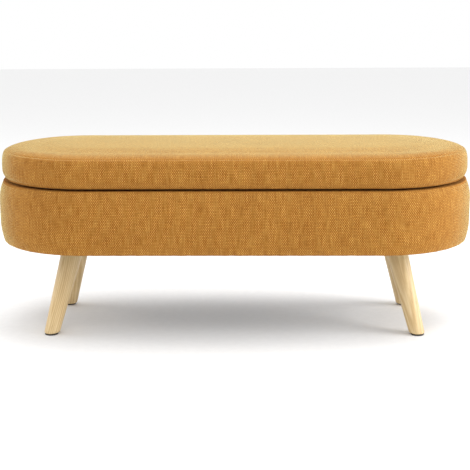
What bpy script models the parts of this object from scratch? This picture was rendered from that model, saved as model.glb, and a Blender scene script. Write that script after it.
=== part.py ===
"""Pill-shaped upholstered storage ottoman: a padded box on four splayed legs, with a hinged padded lid.

The object stands on z = 0 with its front towards -Y and its length along X. Every long piece follows the
same outline, a pill: a straight middle with a half circle at each end. Its sections are given as (r, z),
where r is the distance from the straight line that joins the two end centres, the pill's spine.
Run it in Blender 4.5, from the text editor or with blender --background --python part.py.
"""

import math

import bmesh
import bpy
from mathutils import Matrix, Vector

# Driving dimensions, in metres
LENGTH = 1.120
DEPTH = 0.448
BODY_BOTTOM = 0.208
BODY_TOP = 0.3537
LID_BOTTOM = 0.3573
LID_TOP = 0.436
LID_INSET = 0.006

GAP = 0.0003
FABRIC = 0.0014
END_STEPS = 16

OUTER_R = DEPTH / 2
HALF_STRAIGHT = (LENGTH - DEPTH) / 2

# Body section
BODY_ROLL = (0.011, 0.018)
BODY_BASE_ROLL = (0.020, 0.004)
WALL_OUTER = 0.2140
WALL_INNER = 0.2020
RIM_OUTER = 0.2120
RIM_INNER = 0.1880
RIM_HEIGHT = 0.012
BOARD_THICK = 0.012
RIM_TOP = BODY_TOP - FABRIC - GAP
RIM_BOTTOM = RIM_TOP - RIM_HEIGHT
INNER_FLANGE_BOTTOM = RIM_BOTTOM + 0.0005
BASE_FLANGE_R = 0.180
PANEL_BOTTOM = 0.2102
PANEL_TOP = PANEL_BOTTOM + BOARD_THICK
LINING_OUTER = WALL_INNER - GAP
LINING_INNER = LINING_OUTER - 0.0015

# Lid section
LID_R = OUTER_R - LID_INSET
LID_TOP_ROUND = (0.031, 0.023)
LID_BASE_ROLL = (0.010, 0.016)
LID_CROWN = 0.004
LID_FLANGE_R = 0.165
LID_BOARD_R = 0.2060
LID_BOARD_BOTTOM = LID_BOTTOM + FABRIC + GAP
LID_BOARD_TOP = LID_BOARD_BOTTOM + BOARD_THICK
LID_LINING_R = 0.183
LID_LINING_THICK = 0.0008

# Floor of the storage space
BLOCK_SIZE = 0.080
BLOCK_HEIGHT = 0.016
BLOCK_BOTTOM = PANEL_TOP + GAP
BLOCK_TOP = BLOCK_BOTTOM + BLOCK_HEIGHT
NUT_FLANGE = 0.0015
FLOOR_BOTTOM = BLOCK_TOP + GAP + NUT_FLANGE + 0.0005
FLOOR_TOP = FLOOR_BOTTOM + 0.005
FLOOR_R = WALL_INNER - 0.0006
FLOOR_LINING_TOP = FLOOR_TOP + GAP + 0.0015

# Legs: the axis runs from a centre at the body's underside to a centre on the floor
LEG_HEAD = Vector((0.3793, 0.0541, BODY_BOTTOM))
LEG_FOOT = Vector((0.4297, 0.1304, 0.0))
LEG_HEAD_R = 0.0264
LEG_FOOT_R = 0.0174
DUST_TOP = BODY_BOTTOM - GAP
DUST_BOTTOM = DUST_TOP - 0.0007
LEG_TOP = DUST_BOTTOM - GAP
GLIDE_HEIGHT = 0.0034
GLIDE_R = 0.0155
NAIL_R = 0.0010
NAIL_TOP = 0.016
BOLT_R = 0.0040
BOLT_BOTTOM = 0.178
BOLT_TOP = FLOOR_BOTTOM - 0.0008
NUT_BARREL_R = 0.0050
NUT_FLANGE_R = 0.011
NUT_DEPTH = 0.011

# Lid hinge axis and butt hinges
HINGE_Y = 0.2185
HINGE_Z = (BODY_TOP + LID_BOTTOM) / 2
HINGE_X = 0.210
HINGE_LENGTH = 0.076
KNUCKLES = 5
KNUCKLE_R = 0.0030
HINGE_PIN_R = 0.00125
LEAF_THICK = 0.0012
LEAF_REACH = 0.028

# Lid stays: the hub pivot, the elbow and the lid pivot make a parallelogram with the hinge axis
STAY_X = 0.290
HUB_FORWARD = 0.049
HUB_DROP = 0.061
LID_PIVOT_FORWARD = 0.130
LID_PIVOT_DROP = 0.0125
HUB_R = 0.016
ARM_THICK = 0.0025
ARM_HALF_WIDTH = 0.008
LINK_HALF_WIDTH = 0.007
RIVET_R = 0.0030
RIVET_HEAD_R = 0.0055
RIVET_HEAD = 0.0015
SHAFT_R = 0.0040
RUNNING_GAP = 0.0004

FINISHES = {
    "fabric": ((0.58, 0.33, 0.07), 0.95, 0.0),
    "lining": ((0.62, 0.60, 0.55), 0.95, 0.0),
    "foam": ((0.85, 0.80, 0.62), 0.90, 0.0),
    "plywood": ((0.66, 0.49, 0.30), 0.70, 0.0),
    "leg_wood": ((0.70, 0.52, 0.31), 0.45, 0.0),
    "black_cloth": ((0.03, 0.03, 0.03), 0.95, 0.0),
    "steel": ((0.62, 0.62, 0.63), 0.35, 1.0),
    "zinc": ((0.70, 0.68, 0.60), 0.40, 1.0),
    "glide": ((0.06, 0.05, 0.05), 0.60, 0.0),
}


def clear_scene():
    for obj in list(bpy.data.objects):
        bpy.data.objects.remove(obj, do_unlink=True)


def new_collection(name):
    collection = bpy.data.collections.new(name)
    bpy.context.scene.collection.children.link(collection)
    return collection


clear_scene()
PARTS = new_collection("storage_ottoman")
CUTTERS = new_collection("cutters")
CUTTERS.hide_render = True


def make_material(name, finish):
    colour, roughness, metallic = FINISHES[finish]
    material = bpy.data.materials.new(name)
    material.use_nodes = True
    shader = material.node_tree.nodes["Principled BSDF"]
    shader.inputs["Base Color"].default_value = (*colour, 1.0)
    shader.inputs["Roughness"].default_value = roughness
    shader.inputs["Metallic"].default_value = metallic
    return material


def add_part(name, bm, finish, place=None, parent=None):
    """Makes a part object from a bmesh. place is its world matrix."""
    mesh = bpy.data.meshes.new(name)
    bm.to_mesh(mesh)
    bm.free()
    mesh.shade_smooth()
    mesh.set_sharp_from_angle(angle=math.radians(35))
    mesh.materials.append(make_material(name, finish))
    obj = bpy.data.objects.new(name, mesh)
    PARTS.objects.link(obj)
    obj.matrix_world = place or Matrix.Identity(4)
    if parent:
        obj.parent = parent
        obj.matrix_parent_inverse = parent.matrix_world.inverted()
    return obj


def add_helper(name, bm, place=None):
    """Makes a hidden object that a Boolean of a part uses."""
    mesh = bpy.data.meshes.new(name)
    bm.to_mesh(mesh)
    bm.free()
    obj = bpy.data.objects.new(name, mesh)
    CUTTERS.objects.link(obj)
    obj.matrix_world = place or Matrix.Identity(4)
    obj.hide_render = True
    obj.display_type = "WIRE"
    return obj


def add_pivot(name, location):
    """An empty on a joint's axis, which the pieces of a moving body are parented to."""
    pivot = bpy.data.objects.new(name, None)
    pivot.location = location
    PARTS.objects.link(pivot)
    bpy.context.view_layer.update()
    return pivot


def boolean(obj, helper, operation):
    modifier = obj.modifiers.new(f"{operation.lower()} {helper.name}", "BOOLEAN")
    modifier.operation = operation
    modifier.solver = "EXACT"
    modifier.object = helper


def box_bm(low, high):
    bm = bmesh.new()
    low = Vector(low)
    high = Vector(high)
    size = high - low
    place = Matrix.Translation((low + high) / 2) @ Matrix.Diagonal((*size, 1.0))
    bmesh.ops.create_cube(bm, size=1.0, matrix=place)
    return bm


def cylinder_bm(radius, start, end, segments=20):
    """A cylinder between two points."""
    bm = bmesh.new()
    axis = Vector(end) - Vector(start)
    turn = axis.to_track_quat("Z", "Y").to_matrix().to_4x4()
    place = Matrix.Translation((Vector(start) + Vector(end)) / 2) @ turn
    bmesh.ops.create_cone(
        bm, cap_ends=True, segments=segments, radius1=radius, radius2=radius, depth=axis.length, matrix=place
    )
    return bm


def hole(obj, name, radius, start, end):
    boolean(obj, add_helper(f"{name}_hole", cylinder_bm(radius, start, end)), "DIFFERENCE")


def face_outwards(bm):
    """Turns all faces over if the outermost one looks inwards."""
    outermost = max(bm.faces, key=lambda face: face.calc_center_median().x)
    outermost.normal_update()
    if outermost.normal.x < 0:
        bmesh.ops.reverse_faces(bm, faces=bm.faces)


def turn_end(bm, ring, centre_x):
    """Turns a section half way round an end's centre and gives the section where it stops."""
    turned = bmesh.ops.spin(
        bm, geom=ring, cent=(centre_x, 0, 0), axis=(0, 0, 1), angle=math.pi, steps=END_STEPS
    )
    return turned["geom_last"]


def run_straight(bm, ring, distance):
    """Carries a section along a straight side."""
    edges = [item for item in ring if isinstance(item, bmesh.types.BMEdge)]
    carried = bmesh.ops.extrude_edge_only(bm, edges=edges)["geom"]
    verts = [item for item in carried if isinstance(item, bmesh.types.BMVert)]
    bmesh.ops.translate(bm, verts=verts, vec=(distance, 0, 0))
    return verts + [item for item in carried if isinstance(item, bmesh.types.BMEdge)]


def section_ring(bm, section, closed):
    verts = [bm.verts.new((HALF_STRAIGHT, -r, z)) for r, z in section]
    edges = [bm.edges.new(pair) for pair in zip(verts, verts[1:])]
    if closed:
        edges.append(bm.edges.new((verts[-1], verts[0])))
    return verts + edges


def pill_bm(section, closed=True):
    """Sweeps a section of (r, z) points all the way round the pill."""
    bm = bmesh.new()
    ring = section_ring(bm, section, closed)
    ring = turn_end(bm, ring, HALF_STRAIGHT)
    ring = run_straight(bm, ring, -2 * HALF_STRAIGHT)
    ring = turn_end(bm, ring, -HALF_STRAIGHT)
    run_straight(bm, ring, 2 * HALF_STRAIGHT)
    bmesh.ops.remove_doubles(bm, verts=bm.verts, dist=1e-6)
    bmesh.ops.recalc_face_normals(bm, faces=bm.faces)
    face_outwards(bm)
    return bm


def half_ring_bm(section):
    """Sweeps a closed section round one end only, and caps it."""
    bm = bmesh.new()
    turn_end(bm, section_ring(bm, section, True), HALF_STRAIGHT)
    bmesh.ops.holes_fill(bm, edges=bm.edges)
    bmesh.ops.recalc_face_normals(bm, faces=bm.faces)
    return bm


def straight_bm(section):
    """Carries a closed section along the front side only, a gap short of each end, and caps it."""
    bm = bmesh.new()
    ring = section_ring(bm, section, True)
    bmesh.ops.translate(bm, verts=bm.verts, vec=(-GAP, 0, 0))
    run_straight(bm, ring, -2 * (HALF_STRAIGHT - GAP))
    bmesh.ops.holes_fill(bm, edges=bm.edges)
    bmesh.ops.recalc_face_normals(bm, faces=bm.faces)
    return bm


def add_ring_pieces(word, section, finish):
    """Four pieces that close a ring: straight ones at the front and the back, and one round each end."""
    for sign, side in ((1, "front"), (-1, "back")):
        add_part(f"{side}_{word}", straight_bm(section), finish, facing(sign))
    for sign in (-1, 1):
        add_part(side_name(sign, f"end_{word}"), half_ring_bm(section), finish, facing(sign))


def facing(sign):
    """World matrix that turns a piece half way round the object's middle when sign is negative."""
    return Matrix.Rotation(math.pi if sign < 0 else 0.0, 4, "Z")


def rectangle(inner, outer, bottom, top):
    return [(inner, top), (outer, top), (outer, bottom), (inner, bottom)]


def pill_plate(radius, bottom, top):
    """A flat board of the pill's outline."""
    return pill_bm([(0, top), (radius, top), (radius, bottom), (0, bottom)], closed=False)


def pill_ring(inner, outer, bottom, top):
    return pill_bm(rectangle(inner, outer, bottom, top))


def quarter(centre, radii, start, end, steps):
    """Points of an ellipse about centre, from start to end degrees."""
    angles = [math.radians(start + (end - start) * i / steps) for i in range(steps + 1)]
    return [(centre[0] + radii[0] * math.cos(a), centre[1] + radii[1] * math.sin(a)) for a in angles]


def shrunk(radii, depth):
    return (radii[0] - depth, radii[1] - depth)


def outline_bm(outlines, thickness):
    """A flat plate in the local XY plane, centred on it, made from closed outlines: the later ones are holes."""
    curve = bpy.data.curves.new("outline", "CURVE")
    curve.dimensions = "2D"
    curve.fill_mode = "BOTH"
    curve.extrude = thickness / 2
    for points in outlines:
        spline = curve.splines.new("POLY")
        spline.points.add(len(points) - 1)
        for point, (x, y) in zip(spline.points, points):
            point.co = (x, y, 0, 1)
        spline.use_cyclic_u = True
    guide = bpy.data.objects.new("outline", curve)
    CUTTERS.objects.link(guide)
    graph = bpy.context.evaluated_depsgraph_get()
    mesh = bpy.data.meshes.new_from_object(guide.evaluated_get(graph))
    bm = bmesh.new()
    bm.from_mesh(mesh)
    bmesh.ops.remove_doubles(bm, verts=bm.verts, dist=1e-6)
    bmesh.ops.recalc_face_normals(bm, faces=bm.faces)
    bpy.data.objects.remove(guide)
    bpy.data.meshes.remove(mesh)
    return bm


def circle(centre, radius, steps=20):
    angles = [2 * math.pi * (i + 0.5) / steps for i in range(steps)]
    return [(centre[0] + radius * math.cos(a), centre[1] + radius * math.sin(a)) for a in angles]


def capsule(start, end, radius, steps=10):
    """The outline of a bar with round ends."""
    heading = math.atan2(end[1] - start[1], end[0] - start[0])
    points = []
    for centre, first in ((end, heading - math.pi / 2), (start, heading + math.pi / 2)):
        for i in range(steps + 1):
            angle = first + math.pi * i / steps
            points.append((centre[0] + radius * math.cos(angle), centre[1] + radius * math.sin(angle)))
    return points


def add_turned(name, section, finish, place, closed=False, steps=20, parent=None):
    """A turned piece: the section's (r, h) points run down its outer side, and h is along the local Z."""
    bm = bmesh.new()
    verts = [bm.verts.new((r, 0, h)) for r, h in section]
    for pair in zip(verts, verts[1:]):
        bm.edges.new(pair)
    if closed:
        bm.edges.new((verts[-1], verts[0]))
    obj = add_part(name, bm, finish, place, parent)
    screw = obj.modifiers.new("turn", "SCREW")
    screw.steps = steps
    screw.render_steps = steps
    screw.use_merge_vertices = True
    screw.merge_threshold = 0.00001
    screw.use_smooth_shade = True
    return obj


def side_name(sign, word):
    return f"{'right' if sign > 0 else 'left'}_{word}"


def corner_name(sign_x, sign_y, word):
    return f"{'front' if sign_y < 0 else 'rear'}_{side_name(sign_x, word)}"


CORNERS = [(sign_x, sign_y) for sign_y in (-1, 1) for sign_x in (-1, 1)]


# Body box


def leg_centre(sign_x, sign_y):
    return Vector((sign_x * LEG_HEAD.x, sign_y * LEG_HEAD.y))


def add_bolt_holes(obj, radius, low, high):
    for sign_x, sign_y in CORNERS:
        x, y = leg_centre(sign_x, sign_y)
        hole(obj, corner_name(sign_x, sign_y, obj.name), radius, (x, y, low - 0.002), (x, y, high + 0.002))


def build_box():
    panel = add_part("bottom_panel", pill_plate(WALL_OUTER, PANEL_BOTTOM, PANEL_TOP), "plywood")
    add_bolt_holes(panel, BOLT_R + 0.0005, PANEL_BOTTOM, PANEL_TOP)

    walls = rectangle(WALL_INNER, WALL_OUTER, PANEL_TOP + GAP, RIM_BOTTOM - GAP)
    add_ring_pieces("wall", walls, "plywood")
    add_ring_pieces("rim", rectangle(RIM_INNER, RIM_OUTER, RIM_BOTTOM, RIM_TOP), "plywood")


def build_floor():
    half = BLOCK_SIZE / 2
    for sign_x, sign_y in CORNERS:
        x, y = leg_centre(sign_x, sign_y)
        name = corner_name(sign_x, sign_y, "leg_block")
        block = box_bm((x - half, y - half, BLOCK_BOTTOM), (x + half, y + half, BLOCK_TOP))
        obj = add_part(name, block, "plywood")
        hole(obj, name, NUT_BARREL_R + GAP, (x, y, BLOCK_BOTTOM - 0.002), (x, y, BLOCK_TOP + 0.002))

    add_part("floor_board", pill_plate(FLOOR_R, FLOOR_BOTTOM, FLOOR_TOP), "plywood")
    add_part("floor_lining", pill_plate(FLOOR_R, FLOOR_TOP + GAP, FLOOR_LINING_TOP), "lining")

    lining_bottom = FLOOR_LINING_TOP + GAP
    lining_top = RIM_BOTTOM - 0.001
    side = pill_ring(LINING_INNER, LINING_OUTER, lining_bottom, lining_top)
    add_part("side_lining", side, "lining")


def body_surface():
    """The cover's visible side, from the hem inside the rim, over it, down and under the body."""
    roll_r = OUTER_R - BODY_ROLL[0]
    roll_z = BODY_TOP - BODY_ROLL[1]
    base_r = OUTER_R - BODY_BASE_ROLL[0]
    base_z = BODY_BOTTOM + BODY_BASE_ROLL[1]
    hem_r = RIM_INNER - GAP - FABRIC
    section = [(hem_r, INNER_FLANGE_BOTTOM), (hem_r, BODY_TOP - 0.001), (hem_r + 0.001, BODY_TOP)]
    section += quarter((roll_r, roll_z), BODY_ROLL, 90, 0, 5)
    section += quarter((base_r, base_z), BODY_BASE_ROLL, 0, -90, 4)
    section.append((BASE_FLANGE_R, BODY_BOTTOM))
    return section


def add_cloth_shell(name, section, parent=None):
    """A fabric skin: the section is its outer side, thickened inwards."""
    shell = add_part(name, pill_bm(section, closed=False), "fabric", parent=parent)
    solidify = shell.modifiers.new("fabric", "SOLIDIFY")
    solidify.thickness = FABRIC
    solidify.offset = -1
    solidify.use_even_offset = True


def build_body_padding():
    depth = FABRIC + GAP
    roll_r = OUTER_R - BODY_ROLL[0]
    roll_z = BODY_TOP - BODY_ROLL[1]
    inner = WALL_OUTER + GAP
    radii = shrunk(BODY_ROLL, depth)
    stop = math.degrees(math.acos((inner - roll_r) / radii[0]))
    section = quarter((roll_r, roll_z), radii, stop, 0, 5)
    foam_bottom = BODY_BOTTOM + BODY_BASE_ROLL[1] + 0.0015
    section += [(OUTER_R - depth, foam_bottom), (inner, foam_bottom)]
    add_ring_pieces("foam", section, "foam")
    add_cloth_shell("body_cover", body_surface())
    dust = add_part("dust_cover", pill_plate(0.190, DUST_BOTTOM, DUST_TOP), "black_cloth")
    add_bolt_holes(dust, BOLT_R + 0.0006, DUST_BOTTOM, DUST_TOP)


# Legs


def leg_bm(head, foot):
    """A tapered round leg on a slanted axis, cut level at its top and its foot."""
    bm = bmesh.new()
    axis = head - foot
    taper = (LEG_HEAD_R - LEG_FOOT_R) / axis.length
    overrun = 0.03
    turn = axis.to_track_quat("Z", "Y").to_matrix().to_4x4()
    bmesh.ops.create_cone(
        bm,
        cap_ends=True,
        segments=32,
        radius1=LEG_FOOT_R - taper * overrun,
        radius2=LEG_HEAD_R + taper * overrun,
        depth=axis.length + 2 * overrun,
        matrix=Matrix.Translation((head + foot) / 2) @ turn,
    )
    for level, normal in ((LEG_TOP, 1), (GLIDE_HEIGHT + GAP, -1)):
        everything = bm.verts[:] + bm.edges[:] + bm.faces[:]
        cut = bmesh.ops.bisect_plane(
            bm, geom=everything, plane_co=(0, 0, level), plane_no=(0, 0, normal), clear_outer=True
        )
        rim = [item for item in cut["geom_cut"] if isinstance(item, bmesh.types.BMEdge)]
        bmesh.ops.contextual_create(bm, geom=rim)
    bmesh.ops.recalc_face_normals(bm, faces=bm.faces)
    return bm


def build_legs():
    nut_top = BLOCK_TOP + GAP + NUT_FLANGE
    nut_section = [
        (BOLT_R + GAP, nut_top),
        (NUT_FLANGE_R, nut_top),
        (NUT_FLANGE_R, nut_top - NUT_FLANGE),
        (NUT_BARREL_R, nut_top - NUT_FLANGE),
        (NUT_BARREL_R, BLOCK_TOP - NUT_DEPTH),
        (BOLT_R + GAP, BLOCK_TOP - NUT_DEPTH),
    ]
    bolt_section = [(0, BOLT_TOP), (BOLT_R, BOLT_TOP), (BOLT_R, BOLT_BOTTOM), (0, BOLT_BOTTOM)]
    glide_section = [
        (0, NAIL_TOP),
        (NAIL_R, NAIL_TOP),
        (NAIL_R, GLIDE_HEIGHT),
        (GLIDE_R, GLIDE_HEIGHT),
        (GLIDE_R, 0),
        (0, 0),
    ]
    for sign_x, sign_y in CORNERS:
        mirror = Vector((sign_x, sign_y, 1))
        head = LEG_HEAD * mirror
        foot = LEG_FOOT * mirror
        head_place = Matrix.Translation((head.x, head.y, 0))
        foot_place = Matrix.Translation(foot)
        leg_name = corner_name(sign_x, sign_y, "leg")
        leg = add_part(leg_name, leg_bm(head, foot), "leg_wood")
        bore_end = (head.x, head.y, LEG_TOP + 0.01)
        hole(leg, f"{leg_name}_bolt", BOLT_R + GAP, (head.x, head.y, BOLT_BOTTOM - GAP), bore_end)
        hole(leg, f"{leg_name}_nail", NAIL_R + GAP, (foot.x, foot.y, 0), (foot.x, foot.y, NAIL_TOP + GAP))
        add_turned(corner_name(sign_x, sign_y, "leg_bolt"), bolt_section, "steel", head_place)
        add_turned(corner_name(sign_x, sign_y, "t_nut"), nut_section, "zinc", head_place, closed=True)
        add_turned(corner_name(sign_x, sign_y, "foot_glide"), glide_section, "glide", foot_place)


# Lid


def lid_surface(depth):
    """The lid's outer side, depth below its surface, from the middle of the top to the turn under it."""
    shoulder_r = LID_R - LID_TOP_ROUND[0]
    shoulder_z = LID_TOP - LID_CROWN - LID_TOP_ROUND[1]
    section = []
    for share in (0, 0.55, 0.85):
        section.append((shoulder_r * share, LID_TOP - depth - LID_CROWN * share**2))
    section += quarter((shoulder_r, shoulder_z), shrunk(LID_TOP_ROUND, depth), 90, 0, 6)
    base = (LID_R - LID_BASE_ROLL[0], LID_BOTTOM + LID_BASE_ROLL[1])
    section += quarter(base, shrunk(LID_BASE_ROLL, depth), 0, -90, 4)
    return section


def build_lid(pivot):
    board = pill_plate(LID_BOARD_R, LID_BOARD_BOTTOM, LID_BOARD_TOP)
    add_part("lid_board", board, "plywood", parent=pivot)

    foam_section = lid_surface(FABRIC + GAP)
    recess_r = LID_BOARD_R + GAP
    recess_top = LID_BOARD_TOP + GAP
    foam_section += [(recess_r, LID_BOARD_BOTTOM), (recess_r, recess_top), (0, recess_top)]
    add_part("lid_foam", pill_bm(foam_section, closed=False), "foam", parent=pivot)

    add_cloth_shell("lid_cover", lid_surface(0) + [(LID_FLANGE_R, LID_BOTTOM)], pivot)
    lining_top = LID_BOTTOM - GAP
    lining = pill_plate(LID_LINING_R, lining_top - LID_LINING_THICK, lining_top)
    add_part("lid_lining", lining, "black_cloth", parent=pivot)


# Butt hinges


def knuckle_span(index):
    """The low and high end of one knuckle, along the hinge."""
    pitch = HINGE_LENGTH / KNUCKLES
    low = -HINGE_LENGTH / 2 + index * pitch
    return low + 0.0002, low + pitch - 0.0002


def leaf_outline(indices):
    """A leaf seen from above, with the hinge axis at y = 0 and a tab for each of its knuckles."""
    half = HINGE_LENGTH / 2
    edge = -(KNUCKLE_R + 0.0006)
    points = [(-half, -LEAF_REACH), (half, -LEAF_REACH), (half, edge)]
    for index in reversed(indices):
        low, high = knuckle_span(index)
        points += [(high, edge), (high, -0.0018), (low, -0.0018), (low, edge)]
    points.append((-half, edge))
    return [point for i, point in enumerate(points) if math.dist(point, points[i - 1]) > 1e-5]


def add_leaf(name, x, level, indices, parent):
    """One hinge leaf: a plate whose middle is at level above the axis, with its knuckles on the axis."""
    axis = Vector((x, HINGE_Y, HINGE_Z))
    bm = outline_bm([leaf_outline(indices)], LEAF_THICK)
    bmesh.ops.translate(bm, verts=bm.verts, vec=(0, 0, level))
    leaf = add_part(name, bm, "steel", Matrix.Translation(axis), parent)
    for index in indices:
        low, high = knuckle_span(index)
        tube = cylinder_bm(KNUCKLE_R, (low, 0, 0), (high, 0, 0), segments=16)
        helper = add_helper(f"{name}_knuckle_{index}", tube, Matrix.Translation(axis))
        boolean(leaf, helper, "UNION")
    ends = [axis + Vector((reach, 0, 0)) for reach in (-HINGE_LENGTH, HINGE_LENGTH)]
    hole(leaf, f"{name}_pin", HINGE_PIN_R + GAP, *ends)


def build_hinges(pivot):
    level = GAP + LEAF_THICK / 2
    half = HINGE_LENGTH / 2
    head = 0.0008
    pin_section = [
        (0, half + head + GAP),
        (0.0022, half + head + GAP),
        (0.0022, half + GAP),
        (HINGE_PIN_R, half + GAP),
        (HINGE_PIN_R, -half),
        (0, -half),
    ]
    for sign in (-1, 1):
        x = sign * HINGE_X
        add_leaf(side_name(sign, "hinge_body_leaf"), x, -level, [0, 2, 4], None)
        add_leaf(side_name(sign, "hinge_lid_leaf"), x, level, [1, 3], pivot)
        turn = Matrix.Rotation(sign * math.pi / 2, 4, "Y")
        place = Matrix.Translation((x, HINGE_Y, HINGE_Z)) @ turn
        add_turned(side_name(sign, "hinge_pin"), pin_section, "steel", place, steps=16)


# Lid stays

HUB = (HUB_FORWARD, -HUB_DROP)
LID_PIVOT = (LID_PIVOT_FORWARD, -LID_PIVOT_DROP)
ELBOW = (HUB[0] + LID_PIVOT[0], HUB[1] + LID_PIVOT[1])

# Layers of a stay, measured from its web towards the middle of the object
ARM_LAYER = 0.0115
LINK_LAYER = ARM_LAYER + ARM_THICK + RUNNING_GAP
STACK_LOW = ARM_LAYER - RUNNING_GAP - RIVET_HEAD
STACK_HIGH = LINK_LAYER + ARM_THICK + RUNNING_GAP + RIVET_HEAD


def stay_point(sign, pivot, layer):
    """World place of a point given as (forward, up) from the hinge axis, on a layer of one stay."""
    return Vector((sign * (STAY_X - layer), HINGE_Y - pivot[0], HINGE_Z + pivot[1]))


def stay_plane(sign, pivot, layer):
    """World matrix of a plate: its local X points forward, its Y up and its Z to the left."""
    axes = Matrix(((0, 0, -1), (-1, 0, 0), (0, 1, 0))).to_4x4()
    return Matrix.Translation(stay_point(sign, pivot, layer)) @ axes


def stay_turning(sign, pivot):
    """World matrix of a turned piece whose local Z points from the web to the object's middle."""
    turn = Matrix.Rotation(-sign * math.pi / 2, 4, "Y")
    return Matrix.Translation(stay_point(sign, pivot, 0)) @ turn


def from_pivot(point, pivot):
    return (point[0] - pivot[0], point[1] - pivot[1])


def sorted_box(first, second):
    """A box between two opposite corners, given in any order."""
    low = [min(pair) for pair in zip(first, second)]
    high = [max(pair) for pair in zip(first, second)]
    return box_bm(low, high)


def build_stay_hub(sign):
    """The bracket on the back wall, with a damper hub and its shaft."""
    name = side_name(sign, "stay_hub")
    arm_top = ARM_LAYER + ARM_THICK + RUNNING_GAP
    hub_section = [
        (0, arm_top + 0.0012),
        (0.0065, arm_top + 0.0012),
        (0.0065, arm_top),
        (SHAFT_R, arm_top),
        (SHAFT_R, ARM_LAYER - RUNNING_GAP),
        (HUB_R, ARM_LAYER - RUNNING_GAP),
        (HUB_R, 0.0008),
        (0, 0.0008),
    ]
    hub = add_turned(name, hub_section, "steel", stay_turning(sign, HUB), steps=32)
    centre = stay_point(sign, HUB, 0)
    flange_y = LINING_INNER - GAP
    outer_x = centre.x + sign * 0.024
    web_x = centre.x - sign * 0.002
    web = sorted_box((centre.x, centre.y, centre.z - 0.012), (web_x, flange_y, centre.z + 0.012))
    boolean(hub, add_helper(f"{name}_web", web), "UNION")
    flange = sorted_box((web_x, flange_y - 0.002, centre.z - 0.028), (outer_x, flange_y, centre.z + 0.028))
    boolean(hub, add_helper(f"{name}_flange", flange), "UNION")


def rivet_section():
    low = ARM_LAYER - RUNNING_GAP
    high = LINK_LAYER + ARM_THICK + RUNNING_GAP
    return [
        (0, STACK_HIGH),
        (RIVET_HEAD_R, STACK_HIGH),
        (RIVET_HEAD_R, high),
        (RIVET_R, high),
        (RIVET_R, low),
        (RIVET_HEAD_R, low),
        (RIVET_HEAD_R, STACK_LOW),
        (0, STACK_LOW),
    ]


def build_stay_arms(sign):
    """The main arm turns about the hub, and the link about the elbow at the main arm's end."""
    layer = ARM_LAYER + ARM_THICK / 2
    elbow = from_pivot(ELBOW, HUB)
    holes = [circle((0, 0), SHAFT_R + RUNNING_GAP), circle(elbow, RIVET_R + RUNNING_GAP)]
    arm = outline_bm([capsule((0, 0), elbow, ARM_HALF_WIDTH)] + holes, ARM_THICK)
    arm_obj = add_part(side_name(sign, "stay_main_arm"), arm, "steel", stay_plane(sign, HUB, layer))

    rivet_place = stay_turning(sign, ELBOW)
    elbow_name = side_name(sign, "stay_elbow_rivet")
    add_turned(elbow_name, rivet_section(), "steel", rivet_place, steps=16, parent=arm_obj)

    layer = LINK_LAYER + ARM_THICK / 2
    far = from_pivot(LID_PIVOT, ELBOW)
    holes = [circle((0, 0), RIVET_R + RUNNING_GAP), circle(far, RIVET_R + 2 * RUNNING_GAP)]
    link = outline_bm([capsule((0, 0), far, LINK_HALF_WIDTH)] + holes, ARM_THICK)
    add_part(side_name(sign, "stay_link"), link, "steel", stay_plane(sign, ELBOW, layer), arm_obj)


def build_stay_lid_bracket(sign, pivot):
    """An angle bracket under the lid, and the rivet that the link's far end turns on."""
    name = side_name(sign, "stay_lid_bracket")
    layer = ARM_LAYER + ARM_THICK / 2
    flange_top = LID_BOTTOM - 2 * GAP - LID_LINING_THICK - GAP
    rise = flange_top - 0.0005 - (HINGE_Z - LID_PIVOT_DROP)
    hole_circle = circle((0, 0), RIVET_R + RUNNING_GAP)
    web = outline_bm([bracket_outline(rise), hole_circle], ARM_THICK)
    bracket = add_part(name, web, "steel", stay_plane(sign, LID_PIVOT, layer), pivot)
    near = stay_point(sign, LID_PIVOT, ARM_LAYER + ARM_THICK)
    far = stay_point(sign, LID_PIVOT, -0.010)
    corner_a = (near.x, near.y - 0.018, flange_top - 0.002)
    corner_b = (far.x, near.y + 0.018, flange_top)
    boolean(bracket, add_helper(f"{name}_flange", sorted_box(corner_a, corner_b)), "UNION")
    place = stay_turning(sign, LID_PIVOT)
    lid_rivet = side_name(sign, "stay_lid_rivet")
    add_turned(lid_rivet, rivet_section(), "steel", place, steps=16, parent=pivot)


def bracket_outline(rise):
    """A web with a round end about its pivot, rise tall above it."""
    steps = 10
    angles = [math.pi + math.pi * i / steps for i in range(steps + 1)]
    points = [(ARM_HALF_WIDTH * math.cos(a), ARM_HALF_WIDTH * math.sin(a)) for a in angles]
    return points + [(ARM_HALF_WIDTH, rise), (-ARM_HALF_WIDTH, rise)]


build_box()
build_floor()
build_body_padding()
build_legs()
lid_pivot = add_pivot("lid_pivot", (0, HINGE_Y, HINGE_Z))
build_lid(lid_pivot)
build_hinges(lid_pivot)
for side in (-1, 1):
    build_stay_hub(side)
    build_stay_arms(side)
    build_stay_lid_bracket(side, lid_pivot)
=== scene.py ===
"""Looks of a pill-shaped upholstered storage ottoman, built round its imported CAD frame.

Every long piece follows one outline, a pill: a straight middle with a half circle at each end. Its sections
are given as (r, z), where r is the distance from the pill's spine, the line that joins the two end centres.
"""

import math

import bmesh
import bpy
import numpy as np
from mathutils import Matrix, Vector
from mathutils.bvhtree import BVHTree


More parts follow.
